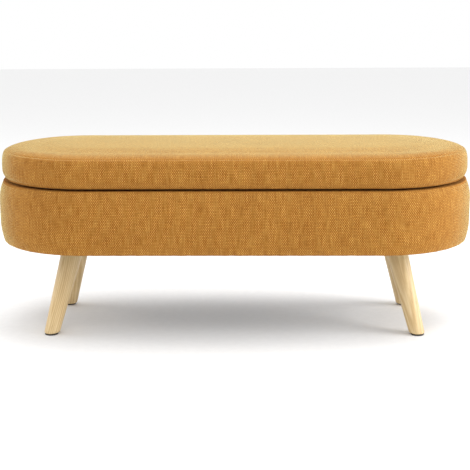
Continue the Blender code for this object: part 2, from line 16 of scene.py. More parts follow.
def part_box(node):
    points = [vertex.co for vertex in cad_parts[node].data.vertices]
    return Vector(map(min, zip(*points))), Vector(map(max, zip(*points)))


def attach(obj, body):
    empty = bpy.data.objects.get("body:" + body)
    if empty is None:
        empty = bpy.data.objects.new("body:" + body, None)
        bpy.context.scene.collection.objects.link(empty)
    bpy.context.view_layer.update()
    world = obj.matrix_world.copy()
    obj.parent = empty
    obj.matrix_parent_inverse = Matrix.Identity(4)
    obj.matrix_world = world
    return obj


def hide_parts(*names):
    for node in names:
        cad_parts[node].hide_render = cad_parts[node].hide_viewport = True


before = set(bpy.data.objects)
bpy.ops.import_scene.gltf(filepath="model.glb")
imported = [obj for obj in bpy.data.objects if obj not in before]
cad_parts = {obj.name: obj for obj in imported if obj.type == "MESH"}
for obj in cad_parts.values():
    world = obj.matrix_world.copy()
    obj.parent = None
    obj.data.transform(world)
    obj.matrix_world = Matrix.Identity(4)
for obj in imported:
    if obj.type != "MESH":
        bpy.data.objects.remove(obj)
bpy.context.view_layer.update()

# Sizes from the frame, in metres

BODY_LOW, BODY_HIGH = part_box("body_cover")
LID_LOW, LID_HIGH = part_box("lid_cover")
RIM_LOW, RIM_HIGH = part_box("back_rim")
PANEL_LOW, PANEL_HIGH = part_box("bottom_panel")
BOARD_LOW, BOARD_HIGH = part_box("lid_board")
WALL_LOW, WALL_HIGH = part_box("back_wall")

BODY_R = BODY_HIGH.y
LID_R = LID_HIGH.y
HALF = BODY_HIGH.x - BODY_R
RIM_INNER = RIM_LOW.y
CLOTH = 0.0014
GAP = 0.0003

# How far the body's padding pushes its cover out past the CAD solid
BULGE = 0.0022

# The seam that joins the lid's top panel to its side band, as (r, z)
SEAM = (LID_R - 0.0117, LID_HIGH.z - 0.0100)

# How far in the covers reach: under the lid's board, under the body and inside the rim
LID_HEM_R = 0.165
FLANGE_R = 0.180
RIM_HEM_R = RIM_INNER - GAP - CLOTH

SHARP = math.radians(38)


def set_all(target, **values):
    for key, value in values.items():
        setattr(target, key, value)


# Node trees


class Tree:
    """One material's nodes. A value that is a socket is linked, and any other value is set."""

    def __init__(self, name):
        self.material = bpy.data.materials.new(name)
        self.material.use_nodes = True
        self.nodes = self.material.node_tree.nodes
        self.links = self.material.node_tree.links
        self.shader = self.nodes["Principled BSDF"]

    def put(self, target, value):
        if isinstance(value, bpy.types.NodeSocket):
            self.links.new(value, target)
        else:
            target.default_value = value

    def add(self, kind, inputs=(), **settings):
        made = self.nodes.new("ShaderNode" + kind)
        set_all(made, **settings)
        for key, value in dict(inputs).items():
            self.put(made.inputs[key], value)
        return made

    def math(self, operation, *values):
        made = self.add("Math", operation=operation)
        for target, value in zip(made.inputs, values):
            self.put(target, value)
        return made.outputs[0]

    def weighted(self, start, *terms):
        """start plus each term's value times its weight."""
        for value, weight in terms:
            start = self.math("MULTIPLY_ADD", value, weight, start)
        return start

    def vector(self, operation, first, second):
        made = self.add("VectorMath", operation=operation)
        self.put(made.inputs[0], first)
        self.put(made.inputs[1], second)
        return made.outputs[0]

    def scaled(self, vector, factors):
        return self.vector("MULTIPLY", vector, factors)

    def split(self, vector):
        return self.add("SeparateXYZ", {"Vector": vector}).outputs

    def noise(self, vector, scale, detail=3.0, roughness=0.55):
        if isinstance(scale, tuple):
            vector, scale = self.scaled(vector, scale), 1.0
        inputs = {"Vector": vector, "Scale": scale, "Detail": detail, "Roughness": roughness}
        return self.add("TexNoise", inputs).outputs["Fac"]

    def span(self, value, low, high, to_low, to_high):
        inputs = {"Value": value, "From Min": low, "From Max": high, "To Min": to_low, "To Max": to_high}
        return self.add("MapRange", inputs).outputs["Result"]

    def ramp(self, value, *stops):
        made = self.add("ValToRGB", {"Fac": value})
        elements = made.color_ramp.elements
        while len(elements) < len(stops):
            elements.new(0.5)
        for element, (place, colour) in zip(elements, stops):
            element.position = place
            element.color = (*colour, 1.0)
        return made.outputs["Color"]

    def mix(self, factor, first, second):
        made = self.add("Mix", data_type="RGBA")
        for index, value in ((0, factor), (6, first), (7, second)):
            self.put(made.inputs[index], value)
        return made.outputs[2]

    def bump(self, height, distance, strength=1.0):
        inputs = {"Height": height, "Distance": distance, "Strength": strength}
        return self.add("Bump", inputs).outputs["Normal"]

    def finish(self, **values):
        """Sets the shader's inputs by name, with _ for a space, and gives the material."""
        for key, value in values.items():
            self.put(self.shader.inputs[key.replace("_", " ")], value)
        return self.material


def here(tree):
    """The place on the object, in metres."""
    return tree.add("TexCoord").outputs["Object"]


def weave(tree, warp, weft):
    """A plain weave of yarns that wide: its height, its upright yarns' tone and each place's yarn tone."""
    cloth = tree.add("Attribute", attribute_name="threads").outputs["Vector"]
    yarns = tree.scaled(cloth, (1 / warp, 1 / weft, 1 / weft))
    slip = tree.noise(yarns, (0.09,) * 3, 2.0)
    bent = tree.vector("ADD", yarns, tree.scaled(slip, (0.9, 1.3, 0.0)))
    u, v, _ = tree.split(bent)
    waves = [tree.math("COSINE", tree.math("MULTIPLY", value, math.pi)) for value in (u, v)]
    heights = []
    for own, other, sign in ((waves[0], waves[1], 0.5), (waves[1], waves[0], -0.5)):
        round_yarn = tree.math("POWER", tree.math("ABSOLUTE", own), 0.6)
        rise = tree.math("MULTIPLY", tree.math("SIGN", own), other)
        rise = tree.math("MULTIPLY_ADD", rise, sign, 0.5)
        heights.append(tree.math("MULTIPLY", round_yarn, rise))
    height = tree.math("MAXIMUM", *heights)
    warp_on_top = tree.math("GREATER_THAN", *heights)
    warp_tone = tree.noise(bent, (0.9, 0.10, 0.0), 2.5)
    weft_tone = tree.noise(bent, (0.10, 0.9, 0.0), 2.5)
    weft_share = tree.math("MULTIPLY", tree.math("SUBTRACT", 1.0, warp_on_top), weft_tone)
    tone = tree.math("MULTIPLY_ADD", warp_on_top, warp_tone, weft_share)
    return cloth, height, warp_on_top, warp_tone, tone


def cover_fabric(name, sheen):
    """Chunky ochre upholstery linen, with slubs in its yarns and lighter worn edges. The outside copy has
    sheen.
    The copy with no sheen, for the turned-in cloth, is painted shade that keeps the gap under the lid dark."""
    tree = Tree(name)
    cloth, height, warp_on_top, warp_tone, tone = weave(tree, warp=0.0024, weft=0.0034)
    broad = tree.noise(cloth, (14, 9, 14), 3.0)
    fibres = tree.noise(cloth, 2400.0, 2.0)
    # The yarn height also lightens the crowns and darkens the gaps in the colour: painted highlight and
    # painted shade
    yarn = (height, 0.52), (tone, 0.60), (warp_tone, 0.16), (warp_on_top, 0.27)
    value = tree.weighted(-0.47, *yarn, (broad, 0.14), (fibres, 0.16))
    colour = tree.ramp(
        value,
        (0.00, (0.058, 0.015, 0.0009)),
        (0.30, (0.185, 0.059, 0.0064)),
        (0.55, (0.365, 0.147, 0.0200)),
        (0.80, (0.590, 0.305, 0.0620)),
        (1.00, (0.760, 0.463, 0.1240)),
    )
    wear = tree.add("Attribute", attribute_name="wear").outputs["Fac"]
    worn = tree.math("MULTIPLY", wear, tree.span(fibres, 0.35, 0.75, 0.02, 0.26))
    colour = tree.mix(worn, colour, (0.52, 0.28, 0.085, 1.0))
    relief = tree.math("MULTIPLY_ADD", fibres, 0.25, height)
    return tree.finish(
        Base_Color=colour,
        Roughness=tree.span(tone, 0.3, 0.7, 0.98, 0.84),
        Normal=tree.bump(relief, 0.0007, 0.8),
        Sheen_Weight=sheen,
        Sheen_Roughness=0.22,
        Sheen_Tint=(1.0, 0.98, 0.50, 1.0),
        Specular_IOR_Level=0.22,
    )


def lining_fabric():
    """Fine oatmeal lining cotton."""
    tree = Tree("lining_cotton")
    cloth, height, _, _, tone = weave(tree, warp=0.0011, weft=0.0011)
    broad = tree.noise(cloth, 16.0, 3.0)
    # The yarn height lightens the crowns and darkens the gaps in the colour: painted highlight and painted
    # shade
    value = tree.weighted(0.05, (height, 0.35), (tone, 0.35), (broad, 0.25))
    colour = tree.ramp(
        value,
        (0.15, (0.30, 0.27, 0.22)),
        (0.55, (0.54, 0.50, 0.43)),
        (0.90, (0.70, 0.66, 0.58)),
    )
    return tree.finish(
        Base_Color=colour,
        Roughness=tree.span(tone, 0.3, 0.7, 0.95, 0.80),
        Normal=tree.bump(height, 0.0003, 0.7),
        Sheen_Weight=0.2,
        Sheen_Roughness=0.5,
        Specular_IOR_Level=0.25,
    )


def felted_cloth():
    """Black spun-bonded cloth, pressed with small dots and streaked with fibres."""
    tree = Tree("black_spunbond")
    place = here(tree)
    dots = tree.add("TexVoronoi", {"Vector": place, "Scale": 420.0, "Randomness": 0.25})
    pressed = tree.span(dots.outputs["Distance"], 0.18, 0.42, 0.0, 1.0)
    fibres = tree.noise(place, (900, 2600, 900), 3.0)
    broad = tree.noise(place, 22.0, 3.0)
    value = tree.weighted(0.0, (pressed, 0.25), (fibres, 0.45), (broad, 0.30))
    colour = tree.ramp(value, (0.2, (0.010, 0.010, 0.011)), (0.85, (0.050, 0.049, 0.048)))
    relief = tree.math("MULTIPLY_ADD", fibres, 0.4, pressed)
    return tree.finish(
        Base_Color=colour,
        Roughness=tree.span(fibres, 0.3, 0.7, 0.90, 0.68),
        Normal=tree.bump(relief, 0.00025, 0.8),
        Sheen_Weight=0.15,
        Specular_IOR_Level=0.30,
    )


def leg_wood():
    """Pale rubberwood under a satin lacquer, with its grain along the leg."""
    tree = Tree("pale_wood")
    place = tree.add("Attribute", attribute_name="grain").outputs["Vector"]
    wander = tree.noise(place, (26, 26, 5), 2.0)
    x, y, _ = tree.split(place)
    rings = tree.math("SQRT", tree.math("MULTIPLY_ADD", x, x, tree.math("MULTIPLY", y, y)))
    rings = tree.math("MULTIPLY_ADD", wander, 0.010, rings)
    bands = tree.math("SINE", tree.math("MULTIPLY", rings, 1500.0))
    streaks = tree.noise(place, (420, 420, 9), 4.0, 0.6)
    pores = tree.noise(place, (1500, 1500, 40), 2.0)
    pores = tree.span(pores, 0.60, 0.72, 0.0, 1.0)
    value = tree.weighted(0.22, (bands, 0.09), (streaks, 0.42), (wander, 0.22), (pores, -0.16))
    colour = tree.ramp(
        value,
        (0.20, (0.375, 0.213, 0.078)),
        (0.45, (0.590, 0.405, 0.185)),
        (0.62, (0.700, 0.525, 0.275)),
        (0.85, (0.810, 0.655, 0.400)),
    )
    relief = tree.math("MULTIPLY_ADD", pores, -0.8, streaks)
    return tree.finish(
        Base_Color=colour,
        Roughness=tree.span(streaks, 0.3, 0.7, 0.50, 0.36),
        Normal=tree.bump(relief, 0.00012, 0.6),
        Coat_Weight=0.12,
        Coat_Roughness=0.25,
    )


def plywood(name, layers):
    """Birch plywood. layers is the axis across its veneers: 2 for a flat board, 1 for an upright wall."""
    tree = Tree(name)
    place = here(tree)
    grain = (14, 260, 260) if layers == 2 else (14, 260, 320)
    streaks = tree.noise(place, grain, 4.0, 0.6)
    blotches = tree.noise(place, 9.0, 3.0)
    face = tree.ramp(
        tree.weighted(0.0, (streaks, 0.6), (blotches, 0.4)),
        (0.25, (0.420, 0.270, 0.135)),
        (0.50, (0.610, 0.435, 0.250)),
        (0.80, (0.720, 0.560, 0.360)),
    )
    depth = tree.split(place)[layers]
    layer_pair = 0.003
    veneer = tree.math("SINE", tree.math("MULTIPLY", depth, 2 * math.pi / layer_pair))
    edge = tree.ramp(
        tree.math("MULTIPLY_ADD", streaks, 0.3, tree.span(veneer, -0.6, 0.6, 0.1, 0.7)),
        (0.20, (0.270, 0.150, 0.070)),
        (0.80, (0.640, 0.470, 0.290)),
    )
    normal = tree.add("NewGeometry").outputs["True Normal"]
    facing = tree.math("ABSOLUTE", tree.split(normal)[layers])
    colour = tree.mix(tree.math("LESS_THAN", facing, 0.6), face, edge)
    return tree.finish(
        Base_Color=colour,
        Roughness=tree.span(streaks, 0.3, 0.7, 0.82, 0.62),
        Normal=tree.bump(streaks, 0.0002, 0.7),
    )


def brushed_steel(name, colour, dark, rough):
    """Rolled and plated steel with fine drawing lines, faint stains and brighter rubbed places."""
    tree = Tree(name)
    place = here(tree)
    lines = tree.noise(place, (140, 140, 2600), 2.0)
    stains = tree.noise(place, 160.0, 4.0, 0.6)
    value = tree.weighted(0.0, (stains, 0.65), (lines, 0.35))
    tint = tree.ramp(value, (0.30, dark), (0.62, colour))
    return tree.finish(
        Base_Color=tint,
        Metallic=1.0,
        Roughness=tree.span(value, 0.35, 0.65, rough + 0.16, rough - 0.04),
        Normal=tree.bump(lines, 0.00005, 0.5),
    )


def glide_plastic():
    tree = Tree("glide_nylon")
    place = here(tree)
    speckle = tree.noise(place, 1900.0, 2.0)
    scuffs = tree.noise(place, (220, 900, 220), 3.0)
    value = tree.weighted(0.0, (speckle, 0.4), (scuffs, 0.6))
    colour = tree.ramp(value, (0.35, (0.016, 0.013, 0.011)), (0.75, (0.060, 0.050, 0.043)))
    return tree.finish(
        Base_Color=colour,
        Roughness=tree.span(scuffs, 0.3, 0.7, 0.42, 0.66),
        Normal=tree.bump(speckle, 0.00006, 0.6),
    )


def sewing_thread(name, pale, dark):
    tree = Tree(name)
    place = here(tree)
    twist = tree.noise(place, (2600, 2600, 5200), 2.0)
    colour = tree.ramp(twist, (0.30, dark), (0.65, pale))
    rough = tree.span(twist, 0.3, 0.7, 0.85, 0.60)
    return tree.finish(Base_Color=colour, Roughness=rough, Normal=tree.bump(twist, 0.0001, 0.6))


def studio_floor():
    tree = Tree("studio_floor")
    grain = tree.noise(here(tree), 60.0, 3.0)
    colour = tree.ramp(grain, (0.3, (0.88, 0.88, 0.88)), (0.7, (0.91, 0.91, 0.91)))
    return tree.finish(Base_Color=colour, Roughness=0.9, Specular_IOR_Level=0.1)


COVER = cover_fabric("ochre_linen", sheen=1.0)
# A copy with no sheen: painted shade for the turned-in cloth seen in the gap under the lid
COVER_NO_SHEEN_PAINTED_SHADE = cover_fabric("ochre_linen_no_sheen_painted_shade", sheen=0.0)
LINING = lining_fabric()
FELT = felted_cloth()
LEG_WOOD = leg_wood()
BOARD_PLY = plywood("birch_board", layers=2)
WALL_PLY = plywood("birch_wall", layers=1)
STEEL = brushed_steel("plated_steel", (0.66, 0.66, 0.67), (0.42, 0.42, 0.43), 0.30)
ZINC = brushed_steel("zinc_plate", (0.72, 0.70, 0.62), (0.48, 0.46, 0.38), 0.36)
DARK_STEEL = brushed_steel("staple_wire", (0.56, 0.56, 0.58), (0.34, 0.34, 0.36), 0.26)
GLIDE = glide_plastic()
LINING_THREAD = sewing_thread("lining_thread", (0.72, 0.69, 0.62), (0.42, 0.39, 0.33))


# Shapes that follow the pill


def stations(step):
    """Places round the pill, from the middle of the back by the left end: the spine's x, the way out as
    (x, y), and the length run so far at the body's radius. There is one more than the places, for closing."""
    half_steps = max(1, round(HALF / step))
    end_steps = max(4, round(math.pi * BODY_R / step))
    straight = HALF / half_steps
    bend = math.pi * BODY_R / end_steps
    rows = []
    run = 0.0
    # Each straight stretch starts at x and runs against way. A half circle follows the first two
    for x, way, halves in ((0.0, 1.0, 1), (-HALF, -1.0, 2), (HALF, 1.0, 1)):
        for i in range(halves * half_steps):
            rows.append((x - way * i * straight, 0.0, way, run + i * straight))
        run += halves * HALF
        if x < HALF:
            for i in range(end_steps):
                angle = way * math.pi / 2 + math.pi * i / end_steps
                rows.append((-way * HALF, math.cos(angle), math.sin(angle), run + i * bend))
            run += math.pi * BODY_R
    rows.append((0.0, 0.0, 1.0, run))
    return np.array(rows)


def arc(centre, radius, start, end, steps):
    """Points of a circle about centre, from start to end degrees."""
    angles = np.radians(np.linspace(start, end, steps + 1))
    return [(centre[0] + radius * math.cos(a), centre[1] + radius * math.sin(a)) for a in angles]


def bezier(start, pull_start, pull_end, end, steps):
    """Points of a cubic curve between two points, each with its pull towards the next."""
    control = np.array([start, np.add(start, pull_start), np.add(end, pull_end), end])
    points = []
    for t in np.linspace(0, 1, steps + 1):
        weights = ((1 - t) ** 3, 3 * t * (1 - t) ** 2, 3 * t * t * (1 - t), t**3)
        points.append(tuple(np.array(weights) @ control))
    return points


def joined(*runs):
    """Runs of points in one list, without the points that repeat where they meet."""
    points = []
    for run in runs:
        for point in run:
            if not points or math.dist(points[-1], point) > 1e-6:
                points.append(tuple(point))
    return points


def line(start, end, step):
    count = max(1, round(math.dist(start, end) / step))
    return [tuple(np.array(start) + (np.array(end) - start) * i / count) for i in range(count + 1)]


class Swept:
    """A grid of points: rows go round the pill and columns follow a section of (r, z) points."""

    def __init__(self, section, step, closed=False):
        self.section = np.array(section, float)
        self.stations = stations(step)
        self.closed = closed
        after = np.roll(self.section, -1, axis=0)
        before = np.roll(self.section, 1, axis=0)
        if not closed:
            after[-1] = self.section[-1]
            before[0] = self.section[0]
        along = after - before
        along /= np.maximum(np.linalg.norm(along, axis=1), 1e-9)[:, None]
        self.normals = np.stack([-along[:, 1], along[:, 0]], axis=1)
        steps = np.linalg.norm(np.diff(self.section, axis=0), axis=1)
        self.length = np.concatenate([[0.0], np.cumsum(steps)])
        self.offset = np.zeros((len(self.stations) - 1, len(section)))
        self.lift = np.zeros_like(self.offset)
        self.wear = np.zeros_like(self.offset)
        # Columns that take the copy of the cover with no sheen, as painted shade
        self.turned_in_painted_shade = np.zeros(len(section), int)

    @property
    def r(self):
        return self.section[:, 0]

    @property
    def z(self):
        return self.section[:, 1]

    @property
    def run(self):
        """The length round the pill of each row, as a column."""
        return self.stations[:-1, 3:4]

    @property
    def total(self):
        return self.stations[-1, 3]

    def spread(self, section, middle_x):
        """That section at each row, as x, y, z. Its first value runs out from middle_x, its second is z."""
        x = middle_x + self.stations[:-1, 1:2] * section[:, 0]
        y = self.stations[:-1, 2:3] * section[:, 0]
        z = np.broadcast_to(section[:, 1], x.shape)
        return np.stack([x, y, z], axis=2)

    def directions(self):
        """Each point's unit vector away from the section."""
        return self.spread(self.normals, 0.0)

    def rest(self):
        return self.spread(self.section, self.stations[:-1, 0:1])

    def points(self):
        points = self.rest() + self.directions() * self.offset[:, :, None]
        points[:, :, 2] += self.lift
        return points

    def near(self, point, width):
        """1 at the section's points near (r, z) point, falling off smoothly over width."""
        distance = np.linalg.norm(self.section - np.array(point), axis=1)
        return np.exp(-((distance / width) ** 2))[None, :]

    def ripples(self, counts, seed):
        """A smooth random wave round the pill, about -1 to 1, with whole numbers of waves."""
        draw = np.random.default_rng(seed)
        height = np.zeros_like(self.run)
        for count in counts:
            size = draw.uniform(0.5, 1.0)
            angle = 2 * np.pi * count * self.run / self.total
            height += size * np.cos(angle + draw.uniform(0, 2 * np.pi))
        return height / math.sqrt(len(counts))

    def build(self, name, *materials, panel_end=0):
        """Makes the object. Threads follow the pill's length, and x and y on the first panel_end columns."""
        rows, columns = self.offset.shape
        spans = columns if self.closed else columns - 1
        i, j = [a.ravel() for a in np.meshgrid(np.arange(rows), np.arange(spans), indexing="ij")]
        corners = ((i, j), (i, j + 1), (i + 1, j + 1), (i + 1, j))
        faces = np.stack([(a % rows) * columns + b % columns for a, b in corners], axis=1)
        points = self.points()
        runs = self.stations[:, 3]
        lengths = np.append(self.length, self.length[-1] + 0.001)
        threads = np.zeros((len(i), 4, 3), np.float32)
        for corner, (a, b) in enumerate(corners):
            threads[:, corner, 0] = runs[a]
            threads[:, corner, 1] = lengths[b]
            flat = j < panel_end
            place = points[a % rows, b % columns]
            threads[flat, corner, 0] = place[flat, 0] + 0.7
            threads[flat, corner, 1] = place[flat, 1] + 0.3
        mesh = bpy.data.meshes.new(name)
        mesh.from_pydata(points.reshape(-1, 3).tolist(), [], faces.tolist())
        mesh.attributes.new("threads", "FLOAT_VECTOR", "CORNER").data.foreach_set("vector", threads.ravel())
        wear = mesh.attributes.new("wear", "FLOAT", "POINT")
        wear.data.foreach_set("value", self.wear.astype(np.float32).ravel())
        mesh.polygons.foreach_set("material_index", self.turned_in_painted_shade[j].astype(np.int32))
        weld(mesh)
        mesh.shade_smooth()
        return link(name, mesh, *materials)


def link(name, mesh, *materials):
    for material in materials:
        mesh.materials.append(material)
    obj = bpy.data.objects.new(name, mesh)
    bpy.context.scene.collection.objects.link(obj)
    return obj


def weld(mesh):
    bm = bmesh.new()
    bm.from_mesh(mesh)
    bmesh.ops.remove_doubles(bm, verts=bm.verts, dist=1e-6)
    bm.to_mesh(mesh)
    bm.free()
    mesh.update()


def at_ends(swept):
    """1 round the ends of the pill and 0 along its straight sides, with a soft change."""
    beside = np.abs(swept.stations[:-1, 1:2])
    return np.clip(beside * 1.6, 0, 1)


# Swelling by cloth simulation


def evaluated_mesh(obj):
    graph = bpy.context.evaluated_depsgraph_get()
    return bpy.data.meshes.new_from_object(obj.evaluated_get(graph), depsgraph=graph)


def mesh_points(mesh):
    points = np.zeros(len(mesh.vertices) * 3, np.float32)
    mesh.vertices.foreach_get("co", points)
    return points.reshape(-1, 3).astype(float)


def pill_distance(points):
    """Each point's r: its distance from the spine."""
    past_end = np.maximum(np.abs(points[:, 0]) - HALF, 0)
    return np.hypot(past_end, points[:, 1])


def swollen(section, held, pressure, voxel, most):
    """Swells a pad of that outer section under pressure, with its points held where held says so, and gives
    its surface as a tree to cast rays at. most is how far a point may move."""
    pad = Swept(section, 0.012).build("swelling_pad")
    remesh = pad.modifiers.new("even", "REMESH")
    set_all(remesh, mode="VOXEL", voxel_size=voxel)
    even = evaluated_mesh(pad)
    bpy.data.objects.remove(pad)
    start = mesh_points(even)
    cloth_pad = link("swelling_cloth", even)
    fixed = np.flatnonzero(held(pill_distance(start), start[:, 2]))
    group = cloth_pad.vertex_groups.new(name="held")
    group.add(fixed.tolist(), 1.0, "REPLACE")
    cloth = cloth_pad.modifiers.new("swell", "CLOTH")
    set_all(cloth.settings, vertex_group_mass="held", use_pressure=True, uniform_pressure_force=pressure)
    set_all(cloth.settings, tension_stiffness=22, compression_stiffness=22, bending_stiffness=0.8)
    cloth.settings.effector_weights.gravity = 0
    cloth.collision_settings.use_collision = False
    frames = 20
    set_all(cloth.point_cache, frame_start=1, frame_end=frames)
    for number in range(1, frames + 1):
        bpy.context.scene.frame_set(number)
    ended = mesh_points(evaluated_mesh(cloth_pad))
    move = ended - start
    size = np.linalg.norm(move, axis=1)
    move *= np.minimum(1.0, most / np.maximum(size, 1e-9))[:, None]
    faces = [tuple(face.vertices) for face in even.polygons]
    tree = BVHTree.FromPolygons((start + move).tolist(), faces)
    bpy.data.objects.remove(cloth_pad)
    bpy.context.scene.frame_set(1)
    return tree


def follow(swept, tree, soft, reach=0.014):
    """Moves a sweep's soft points onto the swollen surface. soft is each column's share, from 0 to 1."""
    rest = swept.rest()
    directions = swept.directions()
    for j in np.flatnonzero(soft > 0.01):
        for i in range(len(rest)):
            away = Vector(directions[i, j])
            hit = tree.ray_cast(Vector(rest[i, j]) - away * reach, away, 2 * reach)
            if hit[0] is not None:
                swept.offset[i, j] += soft[j] * (hit[3] - reach)


def smooth_offsets(swept, passes):
    """Evens the offsets out between neighbours, along the section and round the pill."""
    for _ in range(passes):
        around = (np.roll(swept.offset, 1, axis=0) + np.roll(swept.offset, -1, axis=0)) / 2
        padded = np.pad(swept.offset, ((0, 0), (1, 1)), mode="edge")
        beside = (padded[:, 2:] + padded[:, :-2]) / 2
        swept.offset = swept.offset * 0.4 + around * 0.3 + beside * 0.3


def back_seam(swept, depth, width, low=-1.0):
    """A vertical seam at the middle of the back, where the band's two ends are sewn together."""
    run = swept.run
    distance = np.minimum(run, swept.total - run)
    upright = (np.abs(swept.normals[:, 0]) > 0.6) & (swept.z > low)
    swept.offset -= depth * np.exp(-((distance / width) ** 2)) * upright[None, :]


# Upholstery


def lid_outline(step):
    """The lid's outer side: its top panel from the middle, its band, and what is turned under."""
    crown_drop = 0.0012
    shoulder = (LID_R - 0.066, LID_HIGH.z - crown_drop)
    crown = [(r, LID_HIGH.z - crown_drop * (r / shoulder[0]) ** 2) for r in np.linspace(0, shoulder[0], 28)]
    panel_edge = bezier(shoulder, (0.0220, -0.0008), (-0.0160, 0.0062), SEAM, 26)
    widest = (LID_R, LID_HIGH.z - 0.052)
    fold = (LID_R - 0.0072, LID_LOW.z + 0.0032)
    band_top = bezier(SEAM, (0.0080, -0.0030), (0.0, 0.0300), widest, 24)
    band_foot = bezier(widest, (0.0, -0.0110), (0.0040, 0.0062), fold, 14)
    hem_start = (LID_R - 0.0125, LID_LOW.z)
    base = bezier(fold, (-0.0016, -0.0029), (0.0028, 0.0), hem_start, 8)
    hem = line(hem_start, (LID_HEM_R, LID_LOW.z), step)
    return joined(crown, panel_edge), joined(band_top, band_foot), joined(base, hem)


def dress(obj, body, slot, *replaced):
    """Says which nodes a piece stands for and which body it rides. slot is not used."""
    if replaced:
        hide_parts(*replaced)
    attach(obj, body)


def build_cover(swept, name, body, *replaced, panel_end=0):
    made = swept.build(name, COVER, COVER_NO_SHEEN_PAINTED_SHADE, panel_end=panel_end)
    dress(made, body, "cover_fabric", *replaced)


def rub(swept, wear, seed):
    """Wear along the cover's edges, uneven round the pill."""
    swept.wear = np.clip(wear, 0, 1) * (0.75 + 0.25 * swept.ripples((31, 44, 73), seed))


def build_lid_upholstery(trees):
    panel, band, under = lid_outline(0.0025)
    pocket_r = BOARD_HIGH.y + GAP
    pocket_top = BOARD_HIGH.z + GAP
    hem_top = LID_LOW.z + CLOTH
    pocket = [(LID_HEM_R, hem_top), (pocket_r, hem_top), (pocket_r, pocket_top), (0.0, pocket_top)]
    section = joined(panel, band, under, pocket)
    lid = Swept(section, 0.005)
    if trees:
        soft = (np.arange(len(section)) < len(panel) + len(band) + 8).astype(float)
        follow(lid, trees["lid"], soft)
        lid.offset = np.clip(lid.offset, -0.0022, 0.0016)
        smooth_offsets(lid, 3)
    # The seam pulls in between the panel and the band, a little more and less along it
    pull = 1.0 + 0.30 * lid.ripples((9, 23, 41, 67), 3)
    lid.offset -= 0.0011 * pull * lid.near(SEAM, 0.0021)
    puckers = lid.ripples((120, 151, 187, 222), 5)
    lid.offset += 0.00022 * puckers * lid.near((SEAM[0] + 0.004, SEAM[1] - 0.007), 0.008)
    lid.offset += 0.00018 * np.roll(puckers, 5, axis=0) * lid.near((SEAM[0] - 0.008, SEAM[1] + 0.003), 0.007)
    # The edge stands a little higher round the ends than along the sides, where people sit
    lid.lift += 0.0020 * at_ends(lid) * lid.near((LID_R - 0.030, LID_HIGH.z - 0.003), 0.030)
    # The band is not quite even
    waves = lid.ripples((5, 8, 13, 19), 11)
    lid.offset += 0.0005 * waves * lid.near((LID_R, (LID_LOW.z + LID_HIGH.z) / 2), 0.028)
    # Pleats where the cloth is turned under round the ends
    pleats = lid.ripples((96, 131, 160), 17) * at_ends(lid)
    under_zone = (lid.z < LID_LOW.z + 0.0006) & (lid.r > LID_HEM_R + 0.003)
    spread = np.clip((LID_R - 0.006 - lid.r) / 0.02, 0, 1)
    lid.offset += 0.00045 * np.clip(pleats, -0.2, 1.2) * (under_zone * spread)[None, :]
    back_seam(lid, depth=0.0009, width=0.0020)
    rub(lid, lid.near(SEAM, 0.005) * 0.8 + lid.near((LID_R - 0.003, LID_LOW.z + 0.004), 0.006), seed=23)
    # The turned-in cloth takes the copy with no sheen, as painted shade in the gap under the lid
    lid.turned_in_painted_shade[len(panel) + len(band) - 4:] = 1
    build_cover(lid, "lid_upholstery", "lid", "lid_cover", "lid_foam", panel_end=len(panel) - 1)


def body_outline(step):
    """The body's outer side: the hem inside the rim and over it, the side, and what is turned under."""
    top = BODY_HIGH.z
    lip_r = 0.0022
    lip = arc((RIM_HEM_R + lip_r, top - lip_r), lip_r, 180, 90, 5)
    hem = line((RIM_HEM_R, RIM_LOW.z + 0.0005), lip[0], 0.004)
    widest_top = (BODY_R + BULGE, top - 0.044)
    ledge_end = (BODY_R - 0.0100, top)
    ledge = line(lip[-1], ledge_end, step)
    shoulder = bezier(ledge_end, (0.0034, -0.0008), (0.0, 0.0190), widest_top, 20)
    widest_foot = (BODY_R + BULGE, BODY_LOW.z + 0.044)
    side = line(widest_top, widest_foot, step)
    fold = (BODY_R - 0.0045, BODY_LOW.z + 0.0032)
    hem_start = (BODY_R - 0.0105, BODY_LOW.z)
    foot = bezier(widest_foot, (0.0, -0.0140), (0.0030, 0.0110), fold, 16)
    turn = bezier(fold, (-0.0007, -0.0022), (0.0032, 0.0), hem_start, 8)
    flange = line(hem_start, (FLANGE_R, BODY_LOW.z), step)
    return joined(hem, lip, ledge), joined(shoulder, side, foot), joined(turn, flange)


